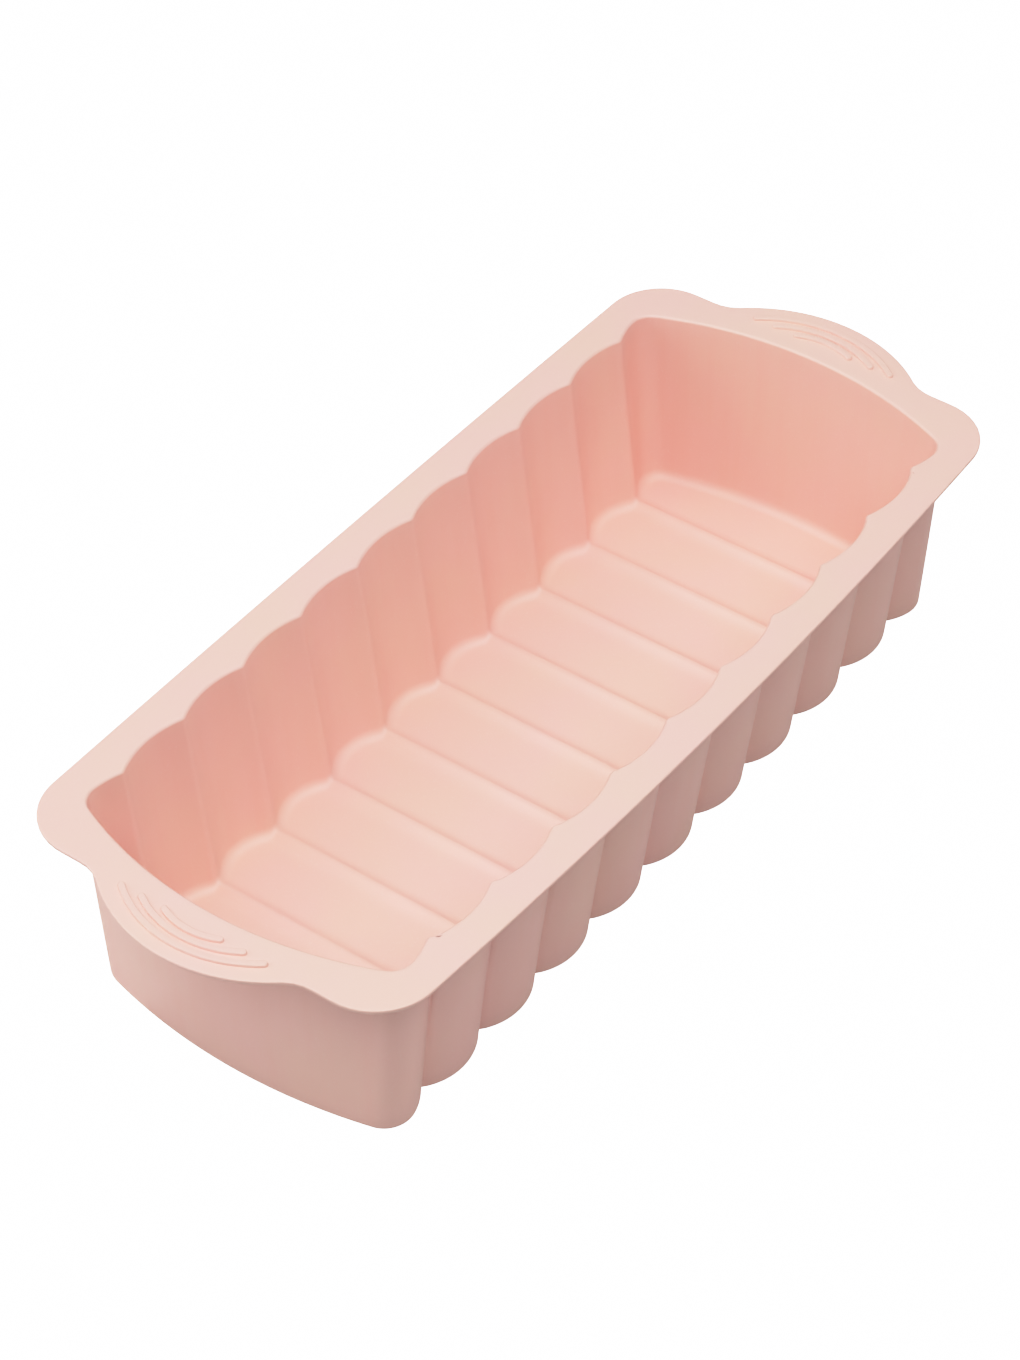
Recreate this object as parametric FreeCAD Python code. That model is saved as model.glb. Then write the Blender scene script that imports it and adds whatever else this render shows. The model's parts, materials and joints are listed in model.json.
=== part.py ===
"""Silicone soap loaf mould: a fluted trough with a flat rim and two bending handle tabs.

The real mould is one piece of silicone.  It is divided here into its natural zones, which meet
face to face: floor, slicing ribs, four walls, four rim strips, two handle tabs and their grip ribs.

Frame: millimetres, +Z up, origin at the centre of the underside.  +X points to the far end,
+Y to the left as seen from the near end.
"""
import FreeCAD, Part
import math
import os

from FreeCAD import Vector

os.makedirs("parts", exist_ok=True)

# ---- Driving dimensions (mm) ------------------------------------------------------------------
HEIGHT = 60.0               # underside to the top of the rim
WALL = 2.0                  # silicone thickness of the walls
FLOOR = 2.2                 # silicone thickness of the floor
RIM = 2.0                   # silicone thickness of the rim and the tabs

# Flutes: a row of outward-bulging lobes with narrow creases between them, one lobe a soap bar.
PITCH = 24.0                # one bar of soap
CREASES = 10                # creases along each long side
CREASE_RADIUS = 0.6         # rounding of a crease on the outside
CREASE_Y_BASE = 44.0        # half-width of the outside at the creases, at the underside
CREASE_Y_TOP = 50.3         # the same at the rim
LOBE_DEPTH_BASE = 4.5       # how far a lobe stands out past its creases, at the underside
LOBE_DEPTH_TOP = 2.3        # the same at the rim
LEAN = {1: 0.8, -1: 3.4}    # how far the soft wall bellies out mid-length at the rim, by side

# End walls: shallow arcs in plan.
END_X_BASE = 130.9          # outside of the end wall on the centre line, at the underside
END_X_TOP = 134.8           # the same at the rim
END_BOW_BASE = 7.2          # how far the end wall bows out past its corners, at the underside
END_BOW_TOP = 12.1          # the same at the rim
CORNER_RADIUS = 8.3         # vertical corners, on the outside
TOE_RADIUS = 2.0            # rounding where the walls turn into the underside
INNER_TOE_RADIUS = 3.0      # rounding where the inside walls turn into the floor
TOE_BANDS = 4               # bands that make up each of those roundings

# Slicing ribs on the floor, and the grooves under them.
RIB_HEIGHT = 1.6
RIB_HALF_WIDTH = 4.5        # the flanks fade into the floor this far from the middle of a rib
RIB_TIP = 0.5               # half-width of the soft tip
GROOVE_RADIUS = 1.5
GROOVE_DEPTH = 0.8

# Rim outline in plan.
RIM_Y = 60.3                # half-width of the rim at the corners
RIM_X = 138.5               # half-length of the rim beside the tabs
RIM_CORNER = 17.2
TAB_TIP_X = 151.3
TAB_RADIUS = 46.5           # the tab's rounded outer edge
TAB_FILLET = 12.0           # hollow curve from the tab back to the rim

# Bending line of a tab: a half-round root in a matching hollow.
HINGE_X = 136.4
HINGE_GAP = 0.25            # clearance all round the root
TAB_HALF_WIDTH = 31.0       # the part of the tab that bends

# Grip ribs: three nested arcs on each tab, as (half-chord, how far the arc bulges outward).
GRIP_ARCS = [(22.5, 7.6), (16.0, 4.6), (8.8, 2.0)]
GRIP_FOOT_X = 139.0         # where the ends of the arcs lie
GRIP_WIDTH = 1.8
GRIP_HEIGHT = 0.8

# Where the zones of the one moulding are divided.
FLOOR_TOP = FLOOR + 0.4     # walls start here, just above the floor's surface
CORNER_SPLIT = 71.0         # end zones lie where |x| - |y| is more than this
FAR_OUT = 120.0             # reach of the dividing wedges, past everything

LOBE_RUN = PITCH * CREASES / 2


# ---- Plan section of the trough ---------------------------------------------------------------
def at_height(z, base, top):
    """A dimension that runs straight from its base value to its value at the rim."""
    return base + (top - base) * z / HEIGHT


def belly(x, z, side):
    """Outward shift of the soft long wall at a place along it."""
    return LEAN[side] * (z / HEIGHT) * (1.0 - (x / LOBE_RUN) ** 2)


def circles_meet(first, first_radius, second, second_radius):
    """The crossing of two circles that lies on the left of the line from first to second."""
    gap = second - first
    along = (first_radius ** 2 - second_radius ** 2 + gap.Length ** 2) / (2.0 * gap.Length)
    across = math.sqrt(first_radius ** 2 - along ** 2)
    forward = Vector(gap).normalize()
    return first + forward * along + Vector(-forward.y, forward.x, 0) * across


def toward(centre, radius, target):
    """The point of a circle that faces a target point."""
    return centre + (target - centre).normalize() * radius


def side_circles(z, side):
    """Circles of one long side, in order of x: lobes (big) with creases between them."""
    crease_y = at_height(z, CREASE_Y_BASE, CREASE_Y_TOP)
    depth = at_height(z, LOBE_DEPTH_BASE, LOBE_DEPTH_TOP)
    lobe_radius = ((PITCH / 2) ** 2 + depth ** 2) / (2.0 * depth) - CREASE_RADIUS
    circles = []
    for step in range(2 * CREASES + 1):
        x = -LOBE_RUN + step * PITCH / 2
        shift = belly(x, z, side)
        if step % 2 == 0:
            y = crease_y + depth - lobe_radius + shift
            circles.append(("lobe", Vector(x, side * y, 0), lobe_radius))
        else:
            y = crease_y + CREASE_RADIUS + shift
            circles.append(("crease", Vector(x, side * y, 0), -CREASE_RADIUS))
    return circles


def end_circle(z, end):
    """The circle of one end wall."""
    bow = at_height(z, END_BOW_BASE, END_BOW_TOP)
    half = at_height(z, CREASE_Y_BASE + LOBE_DEPTH_BASE, CREASE_Y_TOP + LOBE_DEPTH_TOP)
    radius = (half ** 2 + bow ** 2) / (2.0 * bow)
    x = at_height(z, END_X_BASE, END_X_TOP) - radius
    return ("end", Vector(end * x, 0, 0), radius)


def corner_circle(lobe, wall, end, side):
    """The circle that rounds the corner between the last lobe and the end wall."""
    reach_lobe = lobe[2] - CORNER_RADIUS
    reach_wall = wall[2] - CORNER_RADIUS
    if end * side > 0:
        centre = circles_meet(wall[1], reach_wall, lobe[1], reach_lobe)
    else:
        centre = circles_meet(lobe[1], reach_lobe, wall[1], reach_wall)
    return ("corner", centre, CORNER_RADIUS)


def plan_circles(z):
    """All circles of the outside, anticlockwise from the far end wall."""
    far = end_circle(z, 1)
    near = end_circle(z, -1)
    left = side_circles(z, 1)[::-1]
    right = side_circles(z, -1)
    ring = [far, corner_circle(left[0], far, 1, 1)]
    ring += left
    ring += [corner_circle(left[-1], near, -1, 1), near, corner_circle(right[0], near, -1, -1)]
    ring += right
    ring += [corner_circle(right[-1], far, 1, -1)]
    return ring


def section(z, inset):
    """The wire of the trough at a height, drawn in from the outside by inset."""
    ring = plan_circles(z)
    count = len(ring)
    joints = []
    for here, following in zip(ring, ring[1:] + ring[:1]):
        big, small = (here, following) if here[0] in ("lobe", "end") else (following, here)
        joints.append(toward(big[1], big[2] - inset, small[1]))
    edges = []
    for index in range(count):
        centre, radius = ring[index][1:]
        start = joints[index - 1]
        stop = joints[index]
        middle = toward(centre, abs(radius - inset), (start + stop) * 0.5)
        lift = Vector(0, 0, z)
        edges.append(Part.Arc(start + lift, middle + lift, stop + lift).toShape())
    return Part.Wire(edges)


def trough(bottom, top, inset, toe_radius):
    """A solid with the trough's sides and a bottom edge rounded in short bands."""
    sections = []
    for band in range(TOE_BANDS + 1):
        turn = math.radians(90.0 * band / TOE_BANDS)
        rise = toe_radius * (1.0 - math.cos(turn))
        draw_in = toe_radius * (1.0 - math.sin(turn))
        sections.append(section(bottom + rise, inset + draw_in))
    sections.append(section(top, inset))
    return Part.makeLoft(sections, True, True)


# ---- Rim outline ------------------------------------------------------------------------------
def arc(start, middle, stop):
    return Part.Arc(start, middle, stop).toShape()


def rim_outline():
    """Wire of the rim and both tabs in the plane z = 0."""
    tab_centre_x = TAB_TIP_X - TAB_RADIUS
    fillet_x = RIM_X + TAB_FILLET
    fillet_y = math.sqrt((TAB_RADIUS + TAB_FILLET) ** 2 - (fillet_x - tab_centre_x) ** 2)
    corner_x = RIM_X - RIM_CORNER
    corner_y = RIM_Y - RIM_CORNER
    slant = RIM_CORNER * math.sqrt(0.5)
    quarters = {}
    for end in (1, -1):
        for side in (1, -1):
            tab_centre = Vector(end * tab_centre_x, 0, 0)
            fillet_centre = Vector(end * fillet_x, side * fillet_y, 0)
            leave_tab = toward(tab_centre, TAB_RADIUS, fillet_centre)
            reach_rim = Vector(end * RIM_X, side * fillet_y, 0)
            fillet_middle = toward(fillet_centre, TAB_FILLET, (leave_tab + reach_rim) * 0.5)
            corner_start = Vector(end * RIM_X, side * corner_y, 0)
            corner_middle = Vector(end * (corner_x + slant), side * (corner_y + slant), 0)
            corner_stop = Vector(end * corner_x, side * RIM_Y, 0)
            quarters[end, side] = (leave_tab, corner_stop)
            quarters[end, side, "edges"] = [
                arc(leave_tab, fillet_middle, reach_rim),
                Part.LineSegment(reach_rim, corner_start).toShape(),
                arc(corner_start, corner_middle, corner_stop),
            ]
    edges = []
    for end in (1, -1):
        tip = Vector(end * TAB_TIP_X, 0, 0)
        edges.append(arc(quarters[end, -1][0], tip, quarters[end, 1][0]))
        for side in (1, -1):
            edges += quarters[end, side, "edges"]
    for side in (1, -1):
        middle = Vector(0, side * (RIM_Y + LEAN[side]), 0)
        edges.append(arc(quarters[1, side][1], middle, quarters[-1, side][1]))
    return Part.Wire(Part.__sortEdges__(edges))


def prism(points, bottom, top):
    """A straight-sided solid over a polygon in plan."""
    wire = Part.makePolygon([Vector(x, y, bottom) for x, y in points + points[:1]])
    return Part.Face(wire).extrude(Vector(0, 0, top - bottom))


def slab(bottom, top):
    """Everything between two heights."""
    reach = 2 * FAR_OUT
    return prism([(-reach, -reach), (reach, -reach), (reach, reach), (-reach, reach)], bottom, top)


def end_zone(end, bottom, top):
    """Everything beyond the diagonal corner planes of one end."""
    tip = end * CORNER_SPLIT
    out = end * (CORNER_SPLIT + FAR_OUT)
    return prism([(tip, 0), (out, FAR_OUT), (out, -FAR_OUT)], bottom, top)


def side_zone(side, bottom, top):
    """Everything beside one long wall, up to the diagonal corner planes."""
    out = CORNER_SPLIT + FAR_OUT
    corners = [(-CORNER_SPLIT, 0), (CORNER_SPLIT, 0), (out, side * FAR_OUT), (-out, side * FAR_OUT)]
    return prism(corners, bottom, top)


# ---- Small features ---------------------------------------------------------------------------
def crease_places():
    return [(index - (CREASES - 1) / 2.0) * PITCH for index in range(CREASES)]


def slice_rib(x):
    """One floor rib: hollow flanks that rise to a narrow soft tip."""
    rise = RIB_HEIGHT - RIB_TIP / 3
    run = RIB_HALF_WIDTH - RIB_TIP
    flank = (run ** 2 + rise ** 2) / (2.0 * rise)
    half_run = run / 2
    sag = flank - math.sqrt(flank ** 2 - half_run ** 2)
    feet = {side: Vector(x + side * RIB_HALF_WIDTH, -FAR_OUT, FLOOR) for side in (1, -1)}
    tips = {side: Vector(x + side * RIB_TIP, -FAR_OUT, FLOOR + rise) for side in (1, -1)}
    middles = {}
    for side in (1, -1):
        middles[side] = Vector(x + side * (RIB_HALF_WIDTH - half_run), -FAR_OUT, FLOOR + sag)
    crown = Vector(x, -FAR_OUT, FLOOR + RIB_HEIGHT)
    outline = Part.Wire([
        arc(feet[1], middles[1], tips[1]),
        arc(tips[1], crown, tips[-1]),
        arc(tips[-1], middles[-1], feet[-1]),
        Part.LineSegment(feet[-1], feet[1]).toShape(),
    ])
    return Part.Face(outline).extrude(Vector(0, 2 * FAR_OUT, 0))


def groove(x):
    """A shallow round groove across the underside, below a rib."""
    axis_height = GROOVE_DEPTH - GROOVE_RADIUS
    start = Vector(x, -FAR_OUT, axis_height)
    return Part.makeCylinder(GROOVE_RADIUS, 2 * FAR_OUT, start, Vector(0, 1, 0))


def grip_rib(end, half_chord, bulge):
    """One raised arc on a tab, with rounded ends."""
    radius = (half_chord ** 2 + bulge ** 2) / (2.0 * bulge)
    centre = Vector(end * (GRIP_FOOT_X + bulge - radius), 0, HEIGHT)
    half_width = GRIP_WIDTH / 2
    tip_angle = math.asin(half_chord / radius)
    edges = []
    ends = {}
    for side in (1, -1):
        along = Vector(end * math.cos(tip_angle), side * math.sin(tip_angle), 0)
        past = Vector(-end * math.sin(tip_angle), side * math.cos(tip_angle), 0)
        ends[side] = (centre + along * (radius + half_width), centre + along * (radius - half_width))
        edges.append(arc(ends[side][0], centre + along * radius + past * half_width, ends[side][1]))
    for which, reach in ((0, radius + half_width), (1, radius - half_width)):
        edges.append(arc(ends[-1][which], centre + Vector(end * reach, 0, 0), ends[1][which]))
    outline = Part.Wire(Part.__sortEdges__(edges))
    return Part.Face(outline).extrude(Vector(0, 0, GRIP_HEIGHT))


def tab_cutters(end):
    """The space of a tab, and the same with clearance: a half-round root and the plate beyond."""
    middle_z = HEIGHT - RIM / 2
    cutters = []
    for gap in (0.0, HINGE_GAP):
        half = TAB_HALF_WIDTH + gap
        root = Part.makeCylinder(RIM / 2 + gap, 2 * half, Vector(end * HINGE_X, -half, middle_z),
                                 Vector(0, 1, 0))
        beyond = end * (HINGE_X + FAR_OUT)
        corners = [(end * HINGE_X, -half), (beyond, -half), (beyond, half), (end * HINGE_X, half)]
        plate = prism(corners, HEIGHT - RIM - 1, HEIGHT + 1)
        cutters.append(root.fuse(plate))
    return cutters


# ---- The zones --------------------------------------------------------------------------------
nodes = {}

body = trough(0.0, HEIGHT - RIM, 0.0, TOE_RADIUS)
cavity = trough(FLOOR, HEIGHT + 1.0, WALL, INNER_TOE_RADIUS)
shell = body.cut(cavity)

floor = shell.common(slab(-1, FLOOR_TOP))
nodes["floor_panel"] = floor.cut([groove(x) for x in crease_places()])
ribs = [slice_rib(x).common(cavity) for x in crease_places()]
nodes["slice_ribs"] = Part.Compound(ribs)

rim = Part.Face(rim_outline()).extrude(Vector(0, 0, RIM))
rim.translate(Vector(0, 0, HEIGHT - RIM))
rim = rim.cut(cavity)

for side_name, side in (("left", 1), ("right", -1)):
    nodes[side_name + "_side_wall"] = shell.common(side_zone(side, FLOOR_TOP, HEIGHT - RIM))
    nodes[side_name + "_rim_strip"] = rim.common(side_zone(side, HEIGHT - RIM, HEIGHT))

for end_name, end in (("near", -1), ("far", 1)):
    tab_space, tab_clearance = tab_cutters(end)
    end_rim = rim.common(end_zone(end, HEIGHT - RIM, HEIGHT))
    nodes[end_name + "_end_wall"] = shell.common(end_zone(end, FLOOR_TOP, HEIGHT - RIM))
    nodes[end_name + "_rim_end"] = end_rim.cut(tab_clearance)
    nodes[end_name + "_handle_tab"] = end_rim.common(tab_space)
    grips = [grip_rib(end, half_chord, bulge) for half_chord, bulge in GRIP_ARCS]
    nodes[end_name + "_grip_ribs"] = Part.Compound(grips)

for name, shape in nodes.items():
    solids = shape.Solids
    kept = solids[0] if len(solids) == 1 else Part.Compound(solids)
    if not kept.isValid() or not solids:
        raise ValueError(name + " is not a valid solid")
    kept.exportStep("parts/" + name + ".step")
    box = kept.BoundBox
    print("%-18s %2d solid(s) %9.0f mm3  x %7.1f %7.1f  y %6.1f %6.1f  z %5.2f %5.2f" % (
        name, len(solids), kept.Volume, box.XMin, box.XMax, box.YMin, box.YMax, box.ZMin, box.ZMax))
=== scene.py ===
"""Pale pink silicone soap loaf mould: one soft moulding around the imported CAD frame.

All lengths are metres in the frame of the CAD: +X to the far tab, +Y to the left, +Z up.
"""
import json
import math

import bmesh
import bpy
import numpy as np
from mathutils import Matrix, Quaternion, Vector


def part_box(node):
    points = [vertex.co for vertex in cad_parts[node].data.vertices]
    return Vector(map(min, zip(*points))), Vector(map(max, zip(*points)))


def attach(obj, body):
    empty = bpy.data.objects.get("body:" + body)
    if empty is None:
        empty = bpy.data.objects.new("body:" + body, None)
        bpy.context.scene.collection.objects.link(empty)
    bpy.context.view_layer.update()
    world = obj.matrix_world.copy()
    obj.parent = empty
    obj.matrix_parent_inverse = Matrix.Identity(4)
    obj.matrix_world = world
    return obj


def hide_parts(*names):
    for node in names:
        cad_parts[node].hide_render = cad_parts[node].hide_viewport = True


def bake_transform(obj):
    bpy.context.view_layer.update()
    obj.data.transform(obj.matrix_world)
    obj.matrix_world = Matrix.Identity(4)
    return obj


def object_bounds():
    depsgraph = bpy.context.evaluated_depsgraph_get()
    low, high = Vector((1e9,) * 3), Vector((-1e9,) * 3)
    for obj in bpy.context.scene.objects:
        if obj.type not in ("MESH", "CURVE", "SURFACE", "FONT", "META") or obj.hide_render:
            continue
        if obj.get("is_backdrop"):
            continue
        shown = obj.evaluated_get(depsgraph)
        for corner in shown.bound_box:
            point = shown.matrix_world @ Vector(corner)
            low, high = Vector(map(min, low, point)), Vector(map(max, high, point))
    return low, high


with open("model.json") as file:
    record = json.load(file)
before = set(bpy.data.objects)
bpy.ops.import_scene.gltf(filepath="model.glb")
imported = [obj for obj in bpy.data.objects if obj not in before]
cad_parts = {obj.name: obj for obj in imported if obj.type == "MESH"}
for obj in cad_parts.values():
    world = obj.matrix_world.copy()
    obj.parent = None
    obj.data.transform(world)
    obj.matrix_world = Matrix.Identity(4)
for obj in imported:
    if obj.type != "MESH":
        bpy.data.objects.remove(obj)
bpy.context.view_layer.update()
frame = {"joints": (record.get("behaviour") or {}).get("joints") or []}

MM = 0.001
TINY = 1e-9                 # metres; points nearer than this count as one

# ---- Sizes read from the frame ------------------------------------------------------------------
RIM_LOW, RIM_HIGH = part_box("left_rim_strip")
HEIGHT = RIM_HIGH.z
RIM = RIM_HIGH.z - RIM_LOW.z
TAB_TIP_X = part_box("far_handle_tab")[1].x
RIB_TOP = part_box("slice_ribs")[1].z
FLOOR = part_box("slice_ribs")[0].z
GRIP_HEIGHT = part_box("far_grip_ribs")[1].z - HEIGHT
JOINTS = {joint["name"]: joint for joint in frame["joints"]}
HINGE_X = JOINTS["far_tab_bend"]["pos_m"][0]

# ---- Sizes of the moulding, as in the CAD -------------------------------------------------------
WALL = 2.0 * MM
PITCH = 24.0 * MM
CREASES = 10
CREASE_RADIUS = 0.6 * MM
CREASE_Y_BASE = 44.0 * MM
CREASE_Y_TOP = 50.3 * MM
LOBE_DEPTH_BASE = 4.5 * MM
LOBE_DEPTH_TOP = 2.3 * MM
LEAN = {1: 0.8 * MM, -1: 3.4 * MM}
END_X_BASE = 130.9 * MM
END_X_TOP = 134.8 * MM
END_BOW_BASE = 7.2 * MM
END_BOW_TOP = 12.1 * MM
CORNER_RADIUS = 8.3 * MM
TOE_RADIUS = 2.0 * MM
INNER_TOE_RADIUS = 3.0 * MM
RIB_HEIGHT = RIB_TOP - FLOOR
RIB_HALF_WIDTH = 4.5 * MM
RIB_TIP = 0.5 * MM
GROOVE_DEPTH = 0.8 * MM
GROOVE_HALF_WIDTH = 1.6 * MM
RIM_Y = 60.3 * MM
RIM_X = 138.5 * MM
RIM_CORNER = 17.2 * MM
TAB_RADIUS = 46.5 * MM
TAB_FILLET = 12.0 * MM
GRIP_ARCS = [(22.5 * MM, 7.6 * MM), (16.0 * MM, 4.6 * MM), (8.8 * MM, 2.0 * MM)]
GRIP_FOOT_X = 139.0 * MM
GRIP_WIDTH = 1.8 * MM

# Soft edges that the CAD leaves square.
MOUTH_ROUND = 0.8 * MM      # where the inside walls turn over into the rim
EDGE_ROUND = 0.35 * MM      # upper outer edge of the rim
EDGE_FOOT_ROUND = 1.5 * MM  # the same edge where it turns under
ROOT_ROUND = 0.5 * MM       # under the rim, where it meets the outside walls

# Mesh density: segments on each kind of arc, rows across each band, points along the outlines.
SEGMENTS = {"end": 48, "corner": 14, "half_lobe": 9, "lobe": 16, "crease": 8}
TOE_ROWS = 10
WALL_ROWS = 14
MOUTH_ROWS = 6
RIM_ROWS = 12
EDGE_ROWS = 6
ROOT_ROWS = 6
END_FLOOR_ROWS = 10
RIM_ARC_POINTS = 60
TAB_ARC_POINTS = 120

LOBE_RUN = PITCH * CREASES / 2
END_SEGMENTS = SEGMENTS["end"] + 2 * SEGMENTS["corner"]
SIDE_SEGMENTS = (2 * SEGMENTS["half_lobe"] + (CREASES - 1) * SEGMENTS["lobe"]
                 + CREASES * SEGMENTS["crease"])


# ---- Plan of the trough: complex numbers hold x and y -------------------------------------------
def at_height(z, base, top):
    """A size that runs straight from its base value to its value at the rim."""
    return base + (top - base) * z / HEIGHT


def toward(centre, radius, target):
    """The point of a circle that faces a target."""
    return centre + (target - centre) / abs(target - centre) * radius


def circles_meet(first, first_radius, second, second_radius):
    """The crossing of two circles on the left of the line from first to second."""
    gap = second - first
    along = (first_radius ** 2 - second_radius ** 2 + abs(gap) ** 2) / (2 * abs(gap))
    across = math.sqrt(first_radius ** 2 - along ** 2)
    return first + gap / abs(gap) * (along + 1j * across)


def side_circles(z, side):
    """Circles of one long side in order of x: lobes with creases between them."""
    crease_y = at_height(z, CREASE_Y_BASE, CREASE_Y_TOP)
    depth = at_height(z, LOBE_DEPTH_BASE, LOBE_DEPTH_TOP)
    lobe_radius = ((PITCH / 2) ** 2 + depth ** 2) / (2 * depth) - CREASE_RADIUS
    last = 2 * CREASES
    circles = []
    for step in range(last + 1):
        x = -LOBE_RUN + step * PITCH / 2
        shift = LEAN[side] * (z / HEIGHT) * (1 - (x / LOBE_RUN) ** 2)
        if step % 2:
            y = crease_y + CREASE_RADIUS + shift
            circles.append(("crease", complex(x, side * y), -CREASE_RADIUS))
        else:
            y = crease_y + depth - lobe_radius + shift
            kind = "half_lobe" if step in (0, last) else "lobe"
            circles.append((kind, complex(x, side * y), lobe_radius))
    return circles


def end_circle(z, end):
    """Circle of one end wall."""
    bow = at_height(z, END_BOW_BASE, END_BOW_TOP)
    half = at_height(z, CREASE_Y_BASE + LOBE_DEPTH_BASE, CREASE_Y_TOP + LOBE_DEPTH_TOP)
    radius = (half ** 2 + bow ** 2) / (2 * bow)
    return ("end", complex(end * (at_height(z, END_X_BASE, END_X_TOP) - radius), 0), radius)


def corner_circle(lobe, wall, end, side):
    """Circle that rounds the corner between the last lobe and an end wall."""
    pair = [(wall[1], wall[2] - CORNER_RADIUS), (lobe[1], lobe[2] - CORNER_RADIUS)]
    if end * side < 0:
        pair.reverse()
    return ("corner", circles_meet(*pair[0], *pair[1]), CORNER_RADIUS)


def plan_circles(z):
    """All circles of the outside, anticlockwise from the far end wall."""
    far, near = end_circle(z, 1), end_circle(z, -1)
    left, right = side_circles(z, 1)[::-1], side_circles(z, -1)
    ring = [far, corner_circle(left[0], far, 1, 1)] + left
    ring += [corner_circle(left[-1], near, -1, 1), near, corner_circle(right[0], near, -1, -1)]
    return ring + right + [corner_circle(right[-1], far, 1, -1)]


def loop(z, inset):
    """Points round the trough at one height, drawn in from the outside by inset."""
    ring = plan_circles(z)
    joints = []
    for here, following in zip(ring, ring[1:] + ring[:1]):
        big, small = (following, here) if here[0] in ("corner", "crease") else (here, following)
        joints.append(toward(big[1], big[2] - inset, small[1]))
    points = []
    for index, (kind, centre, radius) in enumerate(ring):
        start, stop = joints[index - 1] - centre, joints[index] - centre
        sweep = np.angle(stop / start)
        share = np.arange(SEGMENTS[kind]) / SEGMENTS[kind]
        reach = abs(start) + (abs(stop) - abs(start)) * share
        points.append(centre + reach * start / abs(start) * np.exp(1j * sweep * share))
    return np.concatenate(points)


# Where the parts of a loop start: the far end runs on from the last right-hand corner.
LEFT_START = SEGMENTS["end"] + SEGMENTS["corner"]
NEAR_START = LEFT_START + SIDE_SEGMENTS
RIGHT_START = NEAR_START + END_SEGMENTS
FAR_START = RIGHT_START + SIDE_SEGMENTS
LOOP_COUNT = FAR_START + SEGMENTS["corner"]
LEFT = np.arange(LEFT_START, NEAR_START + 1)
NEAR = np.arange(NEAR_START, RIGHT_START + 1)
RIGHT = np.arange(RIGHT_START, FAR_START + 1)
FAR = np.arange(FAR_START, FAR_START + END_SEGMENTS + 1) % LOOP_COUNT


# ---- Rim outline --------------------------------------------------------------------------------
def arc_points(centre, radius, start_angle, stop_angle, count=RIM_ARC_POINTS):
    """Points along an arc between two angles in degrees."""
    return centre + radius * np.exp(1j * np.radians(np.linspace(start_angle, stop_angle, count)))


def side_edge(x, side):
    """Long outer edge of the rim."""
    reach = RIM_X - RIM_CORNER
    return x + 1j * side * (RIM_Y + LEAN[side] * (1 - (x / reach) ** 2))


def end_edge(first, last):
    """Outer edge of the far end, from a point on the right long edge round to one on the left."""
    tab_x = TAB_TIP_X - TAB_RADIUS
    fillet_x = RIM_X + TAB_FILLET
    fillet_y = math.sqrt((TAB_RADIUS + TAB_FILLET) ** 2 - (fillet_x - tab_x) ** 2)
    turn = math.degrees(math.atan2(fillet_y, fillet_x - tab_x))
    corner = complex(RIM_X - RIM_CORNER, RIM_Y - RIM_CORNER)
    upper = np.concatenate([
        arc_points(tab_x, TAB_RADIUS, 0, turn, TAB_ARC_POINTS),
        arc_points(complex(fillet_x, fillet_y), TAB_FILLET, 180 + turn, 180),
        arc_points(corner, RIM_CORNER, 0, 90),
    ])
    return np.concatenate([[first], upper[::-1].conj(), upper[1:], [last]])


def distances_along(path):
    """Distance travelled along a path at each of its points."""
    return np.concatenate([[0], np.cumsum(np.abs(np.diff(path)))])


def shares_along(path):
    """The same as shares of the whole length."""
    travelled = distances_along(path)
    return travelled / travelled[-1]


def interpolate(wanted, places, values):
    """Complex values at the wanted places."""
    return np.interp(wanted, places, values.real) + 1j * np.interp(wanted, places, values.imag)


def resample(path, shares):
    """Points and outward normals at the given shares of a path's length."""
    travelled = distances_along(path)
    keep = np.concatenate([[True], np.diff(travelled) > TINY])
    path, travelled = path[keep], travelled[keep]
    wanted = shares * travelled[-1]
    tangent = interpolate(wanted, travelled, np.gradient(path, travelled))
    return interpolate(wanted, travelled, path), -1j * tangent / np.abs(tangent)


def rim_edge():
    """Outer edge of the rim, one point and one outward normal for each station of a loop."""
    mouth = loop(HEIGHT, 0)
    edge = np.zeros(LOOP_COUNT, complex)
    normal = np.zeros(LOOP_COUNT, complex)
    for stations, side in ((LEFT, 1), (RIGHT, -1)):
        x = np.linspace(mouth[stations[0]].real, mouth[stations[-1]].real, len(stations))
        edge[stations] = side_edge(x, side)
        slope = -2 * side * LEAN[side] * x / (RIM_X - RIM_CORNER) ** 2
        normal[stations] = side * 1j * (1 + 1j * slope) / np.abs(1 + 1j * slope)
    for stations, end in ((FAR, 1), (NEAR, -1)):
        path = end_edge(end * edge[stations[0]], end * edge[stations[-1]])
        points, outward = resample(path, shares_along(mouth[stations]))
        inside = slice(1, -1)
        edge[stations[inside]] = end * points[inside]
        normal[stations[inside]] = end * outward[inside]
    return edge, normal


# ---- Profile of the moulding, from the floor inside to the floor underneath ----------------------
def from_nearest_rib(x):
    """Distance along X from the middle of the nearest rib."""
    nearest = (np.round(x / PITCH - 0.5) + 0.5) * PITCH
    nearest = np.clip(nearest, PITCH / 2 - LOBE_RUN, LOBE_RUN - PITCH / 2)
    return np.abs(x - nearest)


def rib_rise(x):
    """Height of the slicing ribs over the floor: hollow flanks and a narrow soft tip."""
    away = from_nearest_rib(x)
    run = RIB_HALF_WIDTH - RIB_TIP
    crown = RIB_TIP / 3
    rise = RIB_HEIGHT - crown
    flank_radius = (run ** 2 + rise ** 2) / (2 * rise)
    climbed = np.clip(RIB_HALF_WIDTH - away, 0, run)
    flank = flank_radius - np.sqrt(flank_radius ** 2 - climbed ** 2)
    return np.where(away < RIB_TIP, RIB_HEIGHT - crown * (away / RIB_TIP) ** 2, flank)


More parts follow.
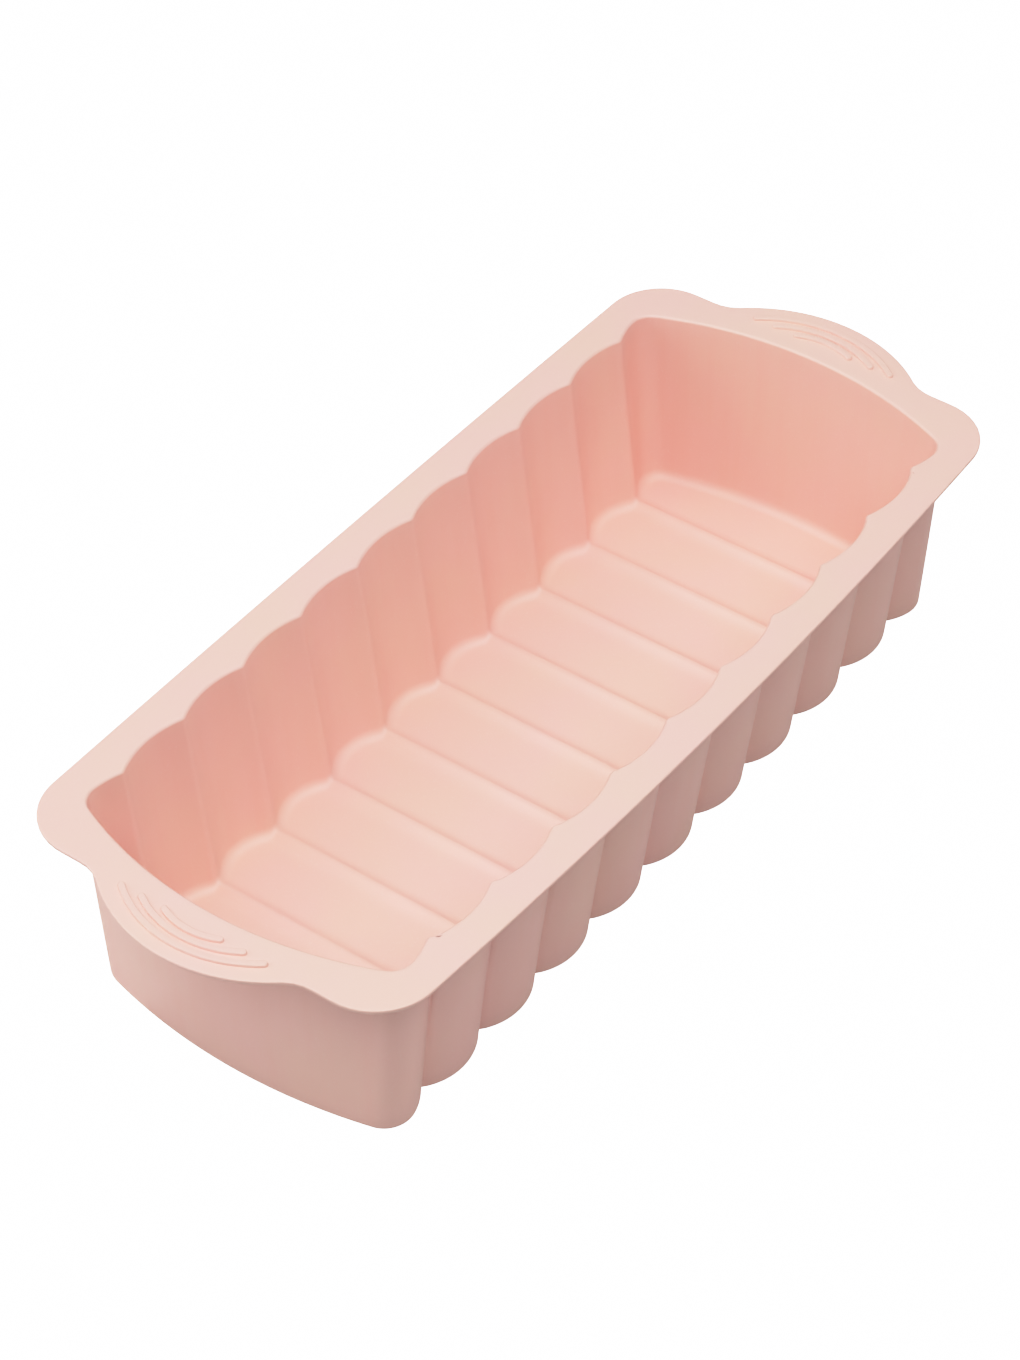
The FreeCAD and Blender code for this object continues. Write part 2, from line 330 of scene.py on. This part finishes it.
def groove_rise(x):
    """Depth of the shallow grooves under the ribs."""
    away = np.clip(from_nearest_rib(x) / GROOVE_HALF_WIDTH, 0, 1)
    return GROOVE_DEPTH * (1 - away ** 2) ** 2


def merge(first, second):
    """The higher of two heights, with a soft blend where they are alike."""
    return (first ** 3 + second ** 3) ** (1 / 3)


def quarter_turn(first, last, count):
    """Evenly spaced angles in radians between two given in degrees."""
    return np.radians(np.linspace(first, last, count))


def profile():
    """Closed loops of the moulding in order, as (plan points, heights)."""
    rows = []

    # Inside: toe, wall and the turn over into the rim.
    for turn in quarter_turn(0, 90, TOE_ROWS):
        z = FLOOR + INNER_TOE_RADIUS * (1 - math.cos(turn))
        points = loop(z, WALL + INNER_TOE_RADIUS * (1 - math.sin(turn)))
        rows.append((points, FLOOR + merge(z - FLOOR, rib_rise(points.real))))
    mouth_z = HEIGHT - MOUTH_ROUND
    for z in np.linspace(FLOOR + INNER_TOE_RADIUS, mouth_z, WALL_ROWS + 1)[1:]:
        rows.append((loop(z, WALL), z))
    for turn in quarter_turn(0, 90, MOUTH_ROWS + 1)[1:]:
        z = mouth_z + MOUTH_ROUND * math.sin(turn)
        rows.append((loop(z, WALL - MOUTH_ROUND * (1 - math.cos(turn))), z))

    # Rim: upper face, outer edge and lower face.
    edge, normal = rim_edge()
    flat_inner = rows[-1][0]
    flat_outer = edge - normal * EDGE_ROUND
    for share in np.linspace(0, 1, RIM_ROWS + 1)[1:]:
        rows.append((flat_inner + (flat_outer - flat_inner) * share, HEIGHT))
    under_z = HEIGHT - RIM
    for turn in quarter_turn(90, 0, EDGE_ROWS + 1)[1:]:
        drop = EDGE_ROUND * (1 - math.sin(turn))
        rows.append((edge - normal * EDGE_ROUND * (1 - math.cos(turn)), HEIGHT - drop))
    for turn in quarter_turn(0, 90, EDGE_ROWS + 1):
        rise = EDGE_FOOT_ROUND * (1 - math.sin(turn))
        rows.append((edge - normal * EDGE_FOOT_ROUND * (1 - math.cos(turn)), under_z + rise))
    under_outer = edge - normal * EDGE_FOOT_ROUND
    under_inner = loop(under_z, -ROOT_ROUND)
    for share in np.linspace(0, 1, RIM_ROWS + 1)[1:]:
        rows.append((under_outer + (under_inner - under_outer) * share, under_z))

    # Outside: root of the rim, wall and toe.
    root_z = under_z - ROOT_ROUND
    for turn in quarter_turn(0, 90, ROOT_ROWS + 1)[1:]:
        z = root_z + ROOT_ROUND * (1 - math.sin(turn))
        rows.append((loop(z, -ROOT_ROUND * (1 - math.sin(turn))), z))
    for z in np.linspace(root_z, TOE_RADIUS, WALL_ROWS + 1)[1:]:
        rows.append((loop(z, 0), z))
    for turn in quarter_turn(90, 0, TOE_ROWS)[1:]:
        z = TOE_RADIUS * (1 - math.cos(turn))
        points = loop(z, TOE_RADIUS * (1 - math.sin(turn)))
        rows.append((points, merge(z, groove_rise(points.real))))
    return rows


# ---- Meshes -------------------------------------------------------------------------------------
class MeshParts:
    """Vertices and faces gathered before they become one smooth-shaded mesh."""

    def __init__(self):
        self.points = []
        self.faces = []

    def add(self, plan, heights):
        """Adds a row of vertices and returns their numbers."""
        first = len(self.points)
        self.points += zip(plan.real, plan.imag, np.broadcast_to(heights, plan.shape))
        return np.arange(first, len(self.points))

    def strip(self, lower, upper):
        """Faces between two rows; corners that coincide are dropped."""
        for index in range(len(lower) - 1):
            ring = [lower[index], lower[index + 1], upper[index + 1], upper[index]]
            face = [v for place, v in enumerate(ring) if v != ring[place - 1]]
            if len(face) > 2:
                self.faces.append(face)

    def mesh(self, name):
        made = bpy.data.meshes.new(name)
        faces = [[int(vertex) for vertex in face] for face in self.faces]
        made.from_pydata(self.points, [], faces)
        work = bmesh.new()
        work.from_mesh(made)
        bmesh.ops.recalc_face_normals(work, faces=work.faces)
        work.to_mesh(made)
        work.free()
        made.shade_smooth()
        return made


def closed(row):
    """A row with its first vertex repeated at the end."""
    return np.concatenate([row, row[:1]])


def panel(parts, ring, plan, height_at):
    """Fills the inside of a loop with rows across the trough; height_at gives the height at x."""
    shares = shares_along(plan[FAR])

    def across(right, left):
        """One row from a right-hand vertex to a left-hand one."""
        span = plan[right] + (plan[left] - plan[right]) * shares[1:-1]
        inner = parts.add(span, height_at(span.real))
        return np.concatenate([[ring[right]], inner, [ring[left]]])

    rows = [across(right, left) for right, left in zip(RIGHT[::-1], LEFT)]
    for lower, upper in zip(rows, rows[1:]):
        parts.strip(lower, upper)
    for first_row, stations in ((rows[0], FAR), (rows[-1], NEAR[::-1])):
        start = np.array([complex(*parts.points[v][:2]) for v in first_row])
        finish = plan[stations]
        previous = first_row
        for step in range(1, END_FLOOR_ROWS):
            span = (start + (finish - start) * step / END_FLOOR_ROWS)[1:-1]
            inner = parts.add(span, height_at(span.real))
            current = np.concatenate([first_row[:1], inner, first_row[-1:]])
            parts.strip(previous, current)
            previous = current
        parts.strip(previous, ring[stations])


def moulding_mesh():
    """The whole moulding as one closed mesh."""
    parts = MeshParts()
    rows = profile()
    rings = [parts.add(plan, heights) for plan, heights in rows]
    for lower, upper in zip(rings, rings[1:]):
        parts.strip(closed(lower), closed(upper))
    panel(parts, rings[0], rows[0][0], lambda x: FLOOR + rib_rise(x))
    panel(parts, rings[-1], rows[-1][0], groove_rise)
    return parts.mesh("moulding")


def piece(name, mesh, material):
    """A new object in the scene with one material."""
    made = bpy.data.objects.new(name, mesh)
    bpy.context.scene.collection.objects.link(made)
    mesh.materials.clear()
    mesh.materials.append(material)
    return made


def cut_mesh(source, name, keep_from, keep_to):
    """The part of a closed mesh between two planes across X, capped where it is cut."""
    work = bmesh.new()
    work.from_mesh(source)
    for place, outward in ((keep_from, -1), (keep_to, 1)):
        geometry = work.verts[:] + work.edges[:] + work.faces[:]
        cut = bmesh.ops.bisect_plane(work, geom=geometry, plane_co=(place, 0, 0),
                                     plane_no=(outward, 0, 0), clear_outer=True)
        rim = [item for item in cut["geom_cut"] if isinstance(item, bmesh.types.BMEdge)]
        if rim:
            caps = bmesh.ops.edgeloop_fill(work, edges=rim)["faces"]
            for face in caps:
                face.smooth = False
                for edge in face.edges:
                    edge.smooth = False
    made = bpy.data.meshes.new(name)
    work.to_mesh(made)
    work.free()
    return made


# ---- Grip ribs ----------------------------------------------------------------------------------
GRIP_ROWS = 9
GRIP_ARC_POINTS = 48
GRIP_END_POINTS = 12        # round each end of a rib
GRIP_CREST = 0.01 * MM      # half-width of the strip that closes the top of a rib
GRIP_CROWN = 0.02 * MM      # how much lower the sides of a rib are than its middle
GRIP_SKIRT = 0.15 * MM      # width over which the sides fall


def band_loop(centre, radius, tip_angle, away):
    """Closed loop at a distance from an arc, round its two ends."""
    angles = np.linspace(-tip_angle, tip_angle, GRIP_ARC_POINTS)
    outer = centre + (radius + away) * np.exp(1j * angles)
    inner = centre + (radius - away) * np.exp(1j * angles[::-1])
    turns = np.linspace(0, math.pi, GRIP_END_POINTS + 2)[1:-1]
    first_tip = centre + radius * np.exp(1j * tip_angle)
    last_tip = centre + radius * np.exp(-1j * tip_angle)
    first = first_tip + away * np.exp(1j * (tip_angle + turns))
    last = last_tip + away * np.exp(1j * (math.pi - tip_angle + turns))
    return np.concatenate([outer, first, inner, last])


def grip_mesh(end):
    """The three raised arcs of one tab."""
    parts = MeshParts()
    flat_half = (GRIP_WIDTH - GRIP_SKIRT) / 2
    reach = (GRIP_WIDTH + GRIP_SKIRT) / 2
    for half_chord, bulge in GRIP_ARCS:
        radius = (half_chord ** 2 + bulge ** 2) / (2 * bulge)
        tip_angle = math.asin(half_chord / radius)
        centre = GRIP_FOOT_X + bulge - radius
        previous = None
        for share in np.linspace(0, 1, GRIP_ROWS):
            away = max(share * reach, GRIP_CREST)
            plan = end * band_loop(centre, radius, tip_angle, away)
            fall = min(max((away - flat_half) / GRIP_SKIRT, 0), 1)
            left = 1 - fall * fall * (3 - 2 * fall)
            height = HEIGHT + GRIP_HEIGHT * left - GRIP_CROWN * share
            ring = parts.add(plan, height)
            if previous is None:
                parts.faces.append(list(ring))
            else:
                parts.strip(closed(previous), closed(ring))
            previous = ring
        foot = parts.add(plan, HEIGHT - RIM / 4)
        parts.strip(closed(previous), closed(foot))
        parts.faces.append(list(foot))
    return parts.mesh("grips")


# ---- Materials ----------------------------------------------------------------------------------
ROSY = (0.94, 0.545, 0.482, 1)
CREAMY = (0.925, 0.56, 0.47, 1)
STREAKED = (0.93, 0.525, 0.45, 1)
SPECKLED = (1, 0.80, 0.74, 1)

# Noise scales, per metre.
CLOUDS = 34
STREAKS = 230
SPECKS = 1500
HANDLING = 75
PEEL = 420
GRAIN = 2400


class Pattern:
    """Short names for the texture nodes of one material."""

    def __init__(self, material):
        self.nodes = material.node_tree.nodes
        self.links = material.node_tree.links
        self.place = self.nodes.new("ShaderNodeTexCoord").outputs["Object"]

    def stretched(self, scale):
        """The object's coordinates, stretched along the axes with a small scale."""
        node = self.nodes.new("ShaderNodeMapping")
        node.inputs["Scale"].default_value = scale
        self.links.new(self.place, node.inputs["Vector"])
        return node.outputs["Vector"]

    def noise(self, per_metre, detail, place=None):
        node = self.nodes.new("ShaderNodeTexNoise")
        node.inputs["Scale"].default_value = per_metre
        node.inputs["Detail"].default_value = detail
        self.links.new(place or self.place, node.inputs["Vector"])
        return node.outputs["Fac"]

    def ranged(self, value, start, stop, low, high):
        """Carries a value from the range start..stop to low..high."""
        node = self.nodes.new("ShaderNodeMapRange")
        limits = {"From Min": start, "From Max": stop, "To Min": low, "To Max": high}
        for name, number in limits.items():
            node.inputs[name].default_value = number
        self.links.new(value, node.inputs["Value"])
        return node.outputs["Result"]

    def times(self, first, second):
        node = self.nodes.new("ShaderNodeMath")
        node.operation = "MULTIPLY"
        self.links.new(first, node.inputs[0])
        self.links.new(second, node.inputs[1])
        return node.outputs["Value"]

    def mixed(self, factor, first, second):
        """A blend of two colours, each a fixed colour or another node's output."""
        node = self.nodes.new("ShaderNodeMixRGB")
        self.links.new(factor, node.inputs["Fac"])
        for name, colour in (("Color1", first), ("Color2", second)):
            if isinstance(colour, tuple):
                node.inputs[name].default_value = colour
            else:
                self.links.new(colour, node.inputs[name])
        return node.outputs["Color"]

    def bump(self, height, strength, depth, below=None):
        node = self.nodes.new("ShaderNodeBump")
        node.inputs["Strength"].default_value = strength
        node.inputs["Distance"].default_value = depth
        self.links.new(height, node.inputs["Height"])
        if below is not None:
            self.links.new(below, node.inputs["Normal"])
        return node.outputs["Normal"]

    def steepness(self):
        """0 on level faces and 1 on walls."""
        node = self.nodes.new("ShaderNodeNewGeometry")
        split = self.nodes.new("ShaderNodeSeparateXYZ")
        flat = self.nodes.new("ShaderNodeMath")
        flat.operation = "ABSOLUTE"
        self.links.new(node.outputs["Normal"], split.inputs["Vector"])
        self.links.new(split.outputs["Z"], flat.inputs[0])
        return self.ranged(flat.outputs["Value"], 0.2, 0.7, 1, 0)


def silicone():
    """Satin moulded silicone: clouded pigment, faint drawn streaks on the walls, fine grain."""
    made = bpy.data.materials.new("pale_pink_silicone")
    made.use_nodes = True
    pattern = Pattern(made)
    shader = pattern.nodes["Principled BSDF"]
    shader.inputs["Specular IOR Level"].default_value = 1.0

    clouds = pattern.ranged(pattern.noise(CLOUDS, 3), 0.36, 0.64, 0, 1)
    colour = pattern.mixed(clouds, ROSY, CREAMY)
    streaks = pattern.noise(STREAKS, 2, pattern.stretched((1, 1, 0.03)))
    streaks = pattern.ranged(streaks, 0.45, 0.75, 0, 0.55)
    colour = pattern.mixed(pattern.times(streaks, pattern.steepness()), colour, STREAKED)
    specks = pattern.ranged(pattern.noise(SPECKS, 1), 0.6, 0.8, 0, 0.12)
    colour = pattern.mixed(specks, colour, SPECKLED)
    pattern.links.new(colour, shader.inputs["Base Color"])

    roughness = pattern.ranged(pattern.noise(HANDLING, 4), 0.3, 0.7, 0.44, 0.56)
    pattern.links.new(roughness, shader.inputs["Roughness"])

    peel = pattern.bump(pattern.noise(PEEL, 2), 0.25, 0.05 * MM)
    grain = pattern.bump(pattern.noise(GRAIN, 2), 0.30, 0.02 * MM, peel)
    pattern.links.new(grain, shader.inputs["Normal"])
    return made


def plain(name, grey, glow):
    """A matt studio surface that also gives off light of its own."""
    made = bpy.data.materials.new(name)
    made.use_nodes = True
    shader = made.node_tree.nodes["Principled BSDF"]
    shader.inputs["Base Color"].default_value = (grey, grey, grey, 1)
    shader.inputs["Roughness"].default_value = 0.9
    shader.inputs["Specular IOR Level"].default_value = 0
    shader.inputs["Emission Color"].default_value = (1, 1, 1, 1)
    shader.inputs["Emission Strength"].default_value = glow
    return made


# ---- Build --------------------------------------------------------------------------------------
TAB_CUT = 0.2 * MM          # the tabs are parted from the trough this far outside the hinge line

pink = silicone()
whole = moulding_mesh()
cut_x = HINGE_X + TAB_CUT
shell = piece("mould_shell", cut_mesh(whole, "mould_shell", -cut_x, cut_x), pink)
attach(shell, "trough")
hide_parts("floor_panel", "slice_ribs", "left_side_wall", "right_side_wall", "near_end_wall",
            "far_end_wall", "left_rim_strip", "right_rim_strip", "near_rim_end", "far_rim_end")

for end_name, end in (("near", -1), ("far", 1)):
    low, high = sorted((end * cut_x, end * (TAB_TIP_X + WALL)))
    tab = piece(end_name + "_tab_flange", cut_mesh(whole, end_name + "_tab", low, high), pink)
    grips = piece(end_name + "_grips", grip_mesh(end), pink)
    for part, node in ((tab, "_handle_tab"), (grips, "_grip_ribs")):
        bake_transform(part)
        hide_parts(end_name + node)
bpy.data.meshes.remove(whole)

# ---- Stage, lights and camera -------------------------------------------------------------------
FLOOR_SPAN = 8.0
FLOOR_GLOW = 2.2
CARD_SPAN = 0.3
LAMP_SPAN = 1.0
LAMP_DISTANCE = 1.4
WORLD_GLOW = 0.01
BRIGHTEST = 3.0             # scene brightness that reaches the end of the tone curve
SHOULDER = 0.5              # tones above this are rolled off


def soften_highlights(view):
    """Rolls the brightest tones off like a photograph instead of clipping them."""
    view.use_curve_mapping = True
    curves = view.curve_mapping
    curves.white_level = (BRIGHTEST,) * 3
    tone = curves.curves[3]
    room = 1 - SHOULDER
    for level in (0.25, 0.5, 0.625, 0.75, 1, 1.25, 1.5, 2):
        over = max(level - SHOULDER, 0)
        shown = min(level, SHOULDER) + room * (1 - math.exp(-over / room))
        tone.points.new(level / BRIGHTEST, shown)
    tone.points[-1].location = (1, 1 - room * math.exp(-(BRIGHTEST - SHOULDER) / room))
    curves.update()


scene = bpy.context.scene
scene.view_settings.view_transform = "Standard"
soften_highlights(scene.view_settings)
world = bpy.data.worlds.new("studio")
scene.world = world
world.use_nodes = True
world.node_tree.nodes["Background"].inputs["Color"].default_value = (1, 1, 1, 1)
world.node_tree.nodes["Background"].inputs["Strength"].default_value = WORLD_GLOW


def studio_plane(name, height, grey, glow, size=FLOOR_SPAN, x=0, y=0):
    """A level square of the studio that casts no shadow."""
    bpy.ops.mesh.primitive_plane_add(size=size, location=(x, y, height))
    made = bpy.context.object
    made.name = name
    made.data.materials.append(plain(name, grey, glow))
    made.visible_shadow = False
    made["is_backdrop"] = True
    return made


def seen_only_by_camera(thing):
    """Keeps a stage piece in the picture and out of the object's lighting."""
    thing.visible_diffuse = False
    thing.visible_glossy = False


def lamp(name, azimuth, elevation, watts):
    """A soft round lamp; azimuth turns from +X toward +Y."""
    turn, rise = math.radians(azimuth), math.radians(elevation)
    level = math.cos(rise)
    toward_lamp = Vector((level * math.cos(turn), level * math.sin(turn), math.sin(rise)))
    data = bpy.data.lights.new(name, "AREA")
    data.shape = "DISK"
    data.size = LAMP_SPAN
    data.energy = watts
    made = bpy.data.objects.new(name, data)
    made.location = toward_lamp * LAMP_DISTANCE
    made.rotation_euler = toward_lamp.to_track_quat("Z", "Y").to_euler()
    scene.collection.objects.link(made)
    return made


# The white floor in the picture, a greyer one just below it that lights the object from beneath,
# and between them a paler card at the left of the near end.
seen_only_by_camera(studio_plane("studio_floor", -0.1 * MM, 0.9, FLOOR_GLOW))
studio_plane("bounce_floor", -0.5 * MM, 0.4, 0.14).visible_camera = False
card = studio_plane("left_card", -0.3 * MM, 0.65, 0.2, size=CARD_SPAN, x=-0.22, y=0.18)
card.visible_camera = False
bpy.ops.mesh.primitive_uv_sphere_add(segments=64, ring_count=32, radius=FLOOR_SPAN)
backdrop = bpy.context.object
backdrop.name = "studio_backdrop"
backdrop.data.materials.append(plain("backdrop_white", 0, BRIGHTEST))
backdrop.visible_shadow = False
seen_only_by_camera(backdrop)
backdrop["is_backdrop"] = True

lamp("front_lamp", 217, 58, 9.6)
lamp("top_lamp", 90, 90, 4.2)
lamp("left_low_lamp", 132, 25, 7.2)
lamp("left_high_lamp", 127, 58, 5.4)
lamp("right_low_lamp", 326, 8, 3.0)
lamp("right_high_lamp", 300, 58, 5.6)
lamp("sheen_lamp", 37, 44, 2.7).visible_diffuse = False

# The camera looks down over the near right corner of the mould.
CAMERA_LENS = 103.0         # mm
CAMERA_SENSOR = 36.0        # mm, along the picture's longer side
CAMERA_AIM = Vector((1.6, 8.9, 30.0)) * MM
CAMERA_DISTANCE = 1048 * MM
CAMERA_AZIMUTH = math.radians(-52.78)
CAMERA_ELEVATION = math.radians(42.94)
CAMERA_ROLL = math.radians(-0.98)

camera_data = bpy.data.cameras.new("camera")
camera_data.sensor_width = CAMERA_SENSOR
camera_data.lens = CAMERA_LENS
camera = bpy.data.objects.new("camera", camera_data)
scene.collection.objects.link(camera)
scene.camera = camera
away = Vector((math.sin(CAMERA_AZIMUTH), -math.cos(CAMERA_AZIMUTH), math.tan(CAMERA_ELEVATION)))
away.normalize()
camera.location = CAMERA_AIM + away * CAMERA_DISTANCE
camera.rotation_mode = "QUATERNION"
camera.rotation_quaternion = (-away).to_track_quat("-Z", "Y") @ Quaternion((0, 0, 1), CAMERA_ROLL)

low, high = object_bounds()
